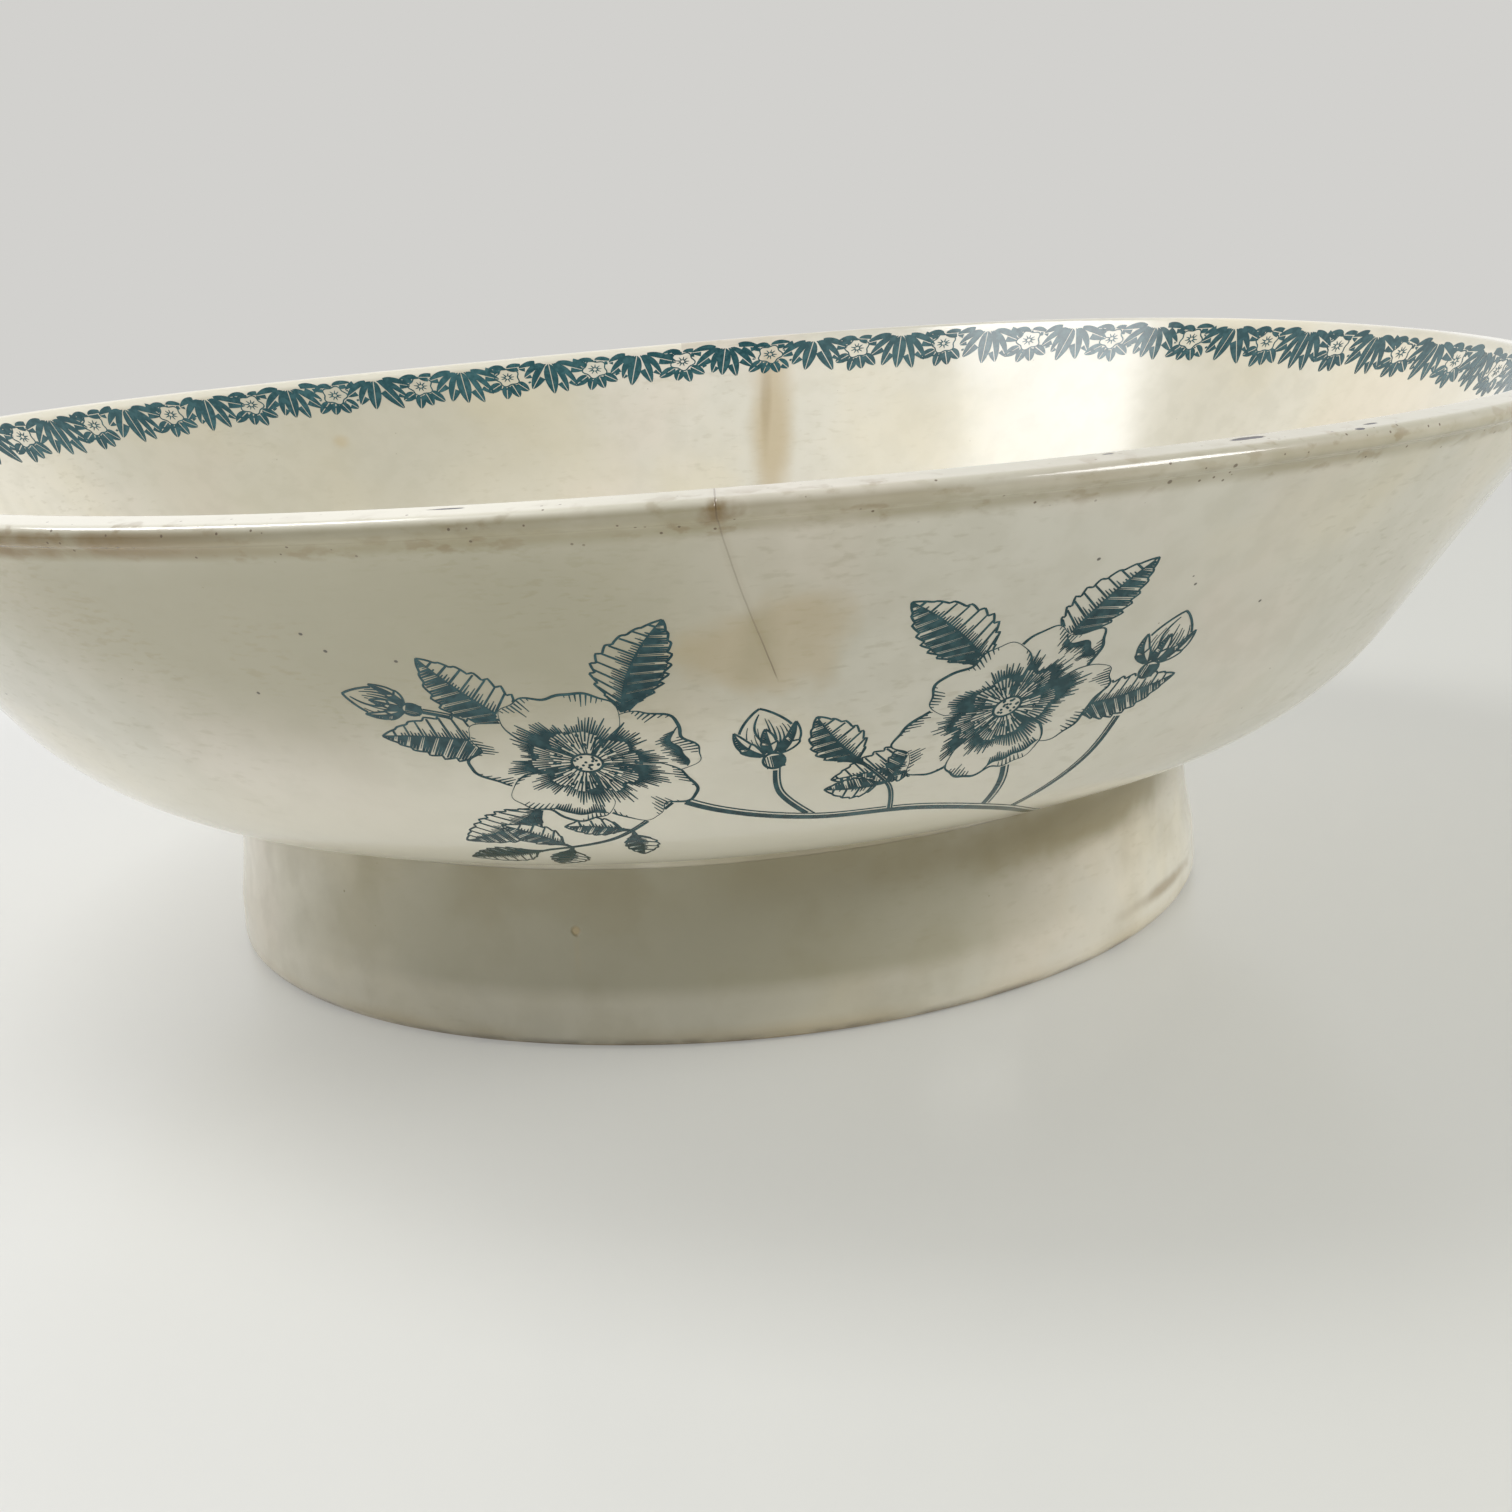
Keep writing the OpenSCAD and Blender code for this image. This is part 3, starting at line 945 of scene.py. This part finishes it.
def basin_glaze():
    """The basin's glaze with its age and some painted light and shade: a crack and its stain, dirt and
    painted shade on the rim, chips and specks.
    """
    mat = new_material("basin_glaze")
    fall = mat.on_wall()[1]
    inner = basin_cream_and_painted_light(mat)
    inner_stains(mat, inner)
    # An olive stain, soft and branching, round the lower half of the crack.
    mat.lay(TAN, mat.blot((2.9, outside(55.5)), (4.4, 7.5), 1.1, 95.0, 1.1, 0.5), 0.42)
    mat.lay(OLIVE, mat.blot((2.7, outside(55.5)), (1.6, 6.5), 0.9, 130.0, 1.0, 0.1), 0.26)
    rim_dirt_and_shade(mat)
    crack = crack_in_glaze(mat)

    specks = chips = 0.0
    for azimuth, height in WALL_SPECKS:
        speck = mat.blot((azimuth, outside(height)), (0.13, 0.26), 0.3, 900.0, 1.0, 0.6)
        specks = mat.math("MAXIMUM", specks, speck)
    mat.lay(SPECK, specks, 0.8)
    for centre, size in CHIPS:
        chips = mat.math("MAXIMUM", chips, mat.blot(centre, size, 0.45, 900.0, 1.0, 0.8))
    mat.lay(CHIP_GREY, chips, 0.9)

    # The glaze is duller inside, where it is washed most, and a little on the bead. The chips show bare clay.
    dulled = mat.math("MAXIMUM", mat.product(inner, 0.07), mat.product(chips, 0.4))
    bead = mat.product(mat.ramp(fall, outside(69.5), outside(70.5)), 0.02)
    roughness = mat.sum(glaze_roughness(mat), mat.math("MAXIMUM", dulled, bead))
    hollows = mat.sum(mat.product(chips, 3.0), mat.product(crack, 0.5))
    return mat.finish(mat.gloss(roughness, mat.math("SUBTRACT", glaze_bump(mat), hollows)))


def foot_body(mat):
    """The foot's thicker and greener cream, shared with the slip so that the seam doesn't show."""
    cream_glaze(mat)
    mat.lay(CREAM_WARM, mat.patches(0.36, 0.66, 26.0, 3.0, mat.stretched(1, 1, 0.5)), 0.45)
    mat.lay(CREAM_GREY, mat.patches(0.50, 0.66, 48.0, 3.0), 0.5)


def foot_glaze():
    """The foot's glaze: painted shade on its front, dirt and painted shade under the bowl, a brown stain and
    a dark line of dirt and painted contact shade along its base edge, worn bare where it stands.
    """
    mat = new_material("foot_glaze")
    azimuth, height = mat.on_wall()
    foot_body(mat)
    # The grey-olive film of the wall above, thickest at the front, where it also stands in for painted shade
    # from the basin above; less on the band, which is painted lighter as it catches more light.
    film = mat.blot((-6.0, 13.0), (49.0, 20.0), 0.4, 26.0, 1.3, 0.4)
    film_and_shade_above_band = mat.sum(0.42, mat.product(mat.ramp(height, 5.5, 8.5), 0.43))
    mat.lay(FILM_AND_SHADE, film, film_and_shade_above_band)
    mat.lay(OLIVE, mat.patches(0.46, 0.64, 75.0, 4.0), 0.18)
    # Olive high under the basin, dirt and painted shade from its overhang, thickest at the right of the
    # front, where a brown stain and a painted shadow follow the basin's edge.
    mat.lay(OLIVE, mat.ramp(height, 13.0, 22.0), mat.patches(0.34, 0.62, 40.0, 3.0), 0.45)
    mat.lay(OLIVE, mat.blot((42.0, 19.0), (24.0, 4.6), 0.8, 70.0, 1.1, 0.3), 0.75)
    # A brown stain that follows the base edge, strongest at the right.
    mat.lay(TAN, mat.ramp(height, 3.2, 1.2), mat.patches(0.30, 0.60, 30.0, 3.0), 0.35)
    mat.lay(RUST, mat.blot((58.0, 4.6), (13.0, 1.5), 0.6, 90.0, 1.0, 0.2), 0.6)
    # A pit in the glaze with a faint seam below it.
    seam = mat.ramp(mat.math("ABSOLUTE", mat.sum(azimuth, 14.8)), 0.5, 0.1)
    mat.lay(TAN, seam, mat.ramp(height, 15.0, 13.0), mat.ramp(height, 8.0, 12.0), 0.12)
    pit = mat.blot((-14.8, 14.8), (0.6, 0.8), 0.4, 500.0, 1.0, 0.4)
    mat.lay(TAN, pit, 0.7)
    worn = mat.ramp(height, 0.9, 0.3)
    mat.lay(BARE_CLAY, worn)
    # A dark line just above the bare ring: dirt and painted contact shade where the foot meets the table.
    mat.lay(UMBER, mat.ramp(height, 1.6, 0.5), mat.patches(0.38, 0.62, 140.0, 4.0), 0.5)
    roughness = mat.sum(glaze_roughness(mat), mat.product(worn, 0.5))
    bump = mat.math("SUBTRACT", glaze_bump(mat), mat.product(pit, 3.0))
    return mat.finish(mat.gloss(roughness, bump))


def slip_glaze():
    """Glaze pooled over the slip in the seam, olive like the top of the foot: dirt and painted shade under
    the basin.
    """
    mat = new_material("slip_glaze")
    dirt_and_shade = mat.patches(0.34, 0.62, 40.0, 3.0)
    foot_body(mat)
    # Dirt and painted shade under the basin.
    mat.lay(OLIVE, dirt_and_shade, 0.50)
    return mat.finish(mat.gloss(glaze_roughness(mat), glaze_bump(mat)))


def print_ink(name, paleness):
    """Teal ink under the glaze, denser in some places than in others."""
    mat = new_material(name, INK)
    thin = mat.product(mat.patches(0.40, 0.66, 900.0), 0.32)
    faded = mat.product(mat.patches(0.40, 0.70, 60.0), 0.25)
    mat.lay(INK_PALE, mat.sum(thin, faded, paleness))
    return mat.finish(mat.gloss(glaze_roughness(mat), glaze_bump(mat), ior=1.45))


# ---------------- the pieces


def dress(piece, material, node=None):
    """Gives a piece its material and its CAD body, and hides the CAD node that it stands in for."""
    piece.data.materials.append(material)
    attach(piece, "root")
    if node:
        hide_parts(node)


dress(lathe("basin_glazed", BASIN_PROFILE, BASIN_FALL), basin_glaze(), "basin")
dress(lathe("foot_glazed", foot_profile()), foot_glaze(), "foot")
dress(lathe("seam_slip", slip_profile()), slip_glaze(), "luting_slip")
spray = print_on("spray_print", flower_spray().visible(), outer_wall, weight=1.1)
dress(spray, print_ink("spray_ink", paleness=0.0))
border = print_on("border_print", garland_strokes(), inner_wall, weight=0.95)
dress(border, print_ink("border_ink", paleness=0.24))

# ---------------- studio

BACKDROP = (210, 209, 206)
FADE_START, FADE_END = 0.28, 0.60  # metres from the bowl's axis over which the floor turns into the backdrop
# The floor's painted glow: for the camera and in the bowl's reflections, this share of the floor is a fixed
# colour, which lightens the bowl's shadow on it.
FLOOR_GLOW_SHARE = 0.45  # how much of the floor's colour doesn't depend on the light


def pale_floor():
    """A wide, pale, glossy table top, greyer to the right with painted shade, partly a painted glow for the
    camera and in reflections. Far from the bowl it turns into the backdrop, so no edge shows.
    """
    mat = new_material("pale_table", srgb(246, 246, 243))
    # Painted shade across the table: greyer towards the right, along a slightly wavy line.
    along = mat.node("SeparateXYZ", {"Vector": mat.where}).outputs["X"]
    along = mat.sum(along, mat.product(mat.math("SUBTRACT", mat.noise(5.0), 0.5), 0.05))
    painted_shade_to_right = mat.ramp(along, -0.16, 0.18)
    mat.lay(srgb(230, 230, 223), painted_shade_to_right)
    surface = mat.gloss(0.2, mat.noise(30.0), bump_mm=0.01, ior=1.5)
    away = mat.node("VectorMath", {0: mat.where}, operation="LENGTH").outputs["Value"]
    path = mat.node("LightPath")
    seen = mat.math("MAXIMUM", path.outputs["Is Camera Ray"], path.outputs["Is Glossy Ray"])
    backdrop = mat.node("Emission", {"Color": srgb(*BACKDROP)}).outputs["Emission"]
    # A painted glow, seen by the camera and in reflections, with the same painted shade to the right.
    floor_glow = mat.blend(srgb(216, 216, 213), srgb(172, 172, 164), painted_shade_to_right)
    floor_glow = mat.node("Emission", {"Color": floor_glow}).outputs["Emission"]
    share = mat.product(seen, FLOOR_GLOW_SHARE)
    lit = mat.node("MixShader", {0: share, 1: surface, 2: floor_glow}).outputs[0]
    fade = mat.product(mat.ramp(away, FADE_START, FADE_END), seen)
    material = mat.finish(mat.node("MixShader", {0: fade, 1: lit, 2: backdrop}).outputs[0])
    half = 4.0
    corners = [(-half, -half, 0), (half, -half, 0), (half, half, 0), (-half, half, 0)]
    floor = make_mesh("floor", corners, [(0, 1, 2, 3)])
    floor.data.materials.append(material)


def area_lamp(name, place_m, size, power):
    """A rectangular lamp that faces the bowl."""
    lamp = bpy.data.lights.new(name, "AREA")
    lamp.shape = "RECTANGLE"
    lamp.size, lamp.size_y = size
    lamp.energy = power
    holder = bpy.data.objects.new(name, lamp)
    holder.location = place_m
    holder.rotation_euler = (Vector((0, 0, 0.04)) - Vector(place_m)).to_track_quat("-Z", "Y").to_euler()
    bpy.context.scene.collection.objects.link(holder)


def light_world(left, right, front, back, below, above):
    """Soft light from all round, with its own level from each side: the room behind the camera is dim.

    Between two sides the light goes smoothly from one to the other. The camera sees a plain backdrop instead.
    """
    world = bpy.data.worlds.new("studio")
    bpy.context.scene.world = world
    sky = Shader(world)

    def vector_math(operation, a, b, output="Vector"):
        return sky.node("VectorMath", {0: a, 1: b}, operation=operation).outputs[output]

    def share(side, strengths):
        facing = vector_math("MAXIMUM", vector_math("MULTIPLY", sky.places["Generated"], side), (0, 0, 0))
        return vector_math("DOT_PRODUCT", vector_math("MULTIPLY", facing, facing), strengths, "Value")

    strength = sky.sum(share((1, 1, 1), (right, back, above)), share((-1, -1, -1), (left, front, below)))
    light = sky.node("Background", {"Color": (1, 1, 1, 1), "Strength": strength}).outputs[0]
    backdrop = sky.node("Background", {"Color": srgb(*BACKDROP), "Strength": 1.0}).outputs[0]
    seen = sky.node("LightPath").outputs["Is Camera Ray"]
    choice = sky.node("MixShader", {0: seen, 1: light, 2: backdrop}).outputs[0]
    sky.node("OutputWorld", {"Surface": choice})


def add_camera():
    """A phone held close in front, a little above the rim, turned slightly right and rolled."""
    distance, height = 297.5, 95.1
    yaw, pitch, roll = 0.022, -0.257, -0.070
    focal_px, frame_px = 2043.0, 1512.0
    forward = Vector((sin(yaw) * cos(pitch), cos(yaw) * cos(pitch), sin(pitch)))
    right = forward.cross(Vector((0, 0, 1))).normalized()
    up = right.cross(forward)
    rolled_right = right * cos(roll) + up * sin(roll)
    rolled_up = up * cos(roll) - right * sin(roll)
    lens = bpy.data.cameras.new("camera")
    lens.sensor_width = 36.0
    lens.lens = focal_px / frame_px * lens.sensor_width
    lens.clip_start = 0.01
    camera = bpy.data.objects.new("camera", lens)
    turn = Matrix((rolled_right, rolled_up, -forward)).transposed().to_4x4()
    camera.matrix_world = Matrix.Translation(Vector((0, -distance, height)) * MM) @ turn
    bpy.context.scene.collection.objects.link(camera)
    bpy.context.scene.camera = camera


pale_floor()
add_camera()
light_world(left=1.08, right=0.82, front=0.06, back=1.05, below=0.3, above=0.28)
area_lamp("window_left", (-0.65, 0.15, 1.02), (0.38, 0.62), 6.1)
area_lamp("curtain_left", (-0.42, -0.15, 1.02), (0.34, 0.50), 0.5)
area_lamp("window_right", (0.80, -0.45, 0.70), (0.42, 0.42), 5.6)
bpy.context.scene.view_settings.view_transform = "Standard"
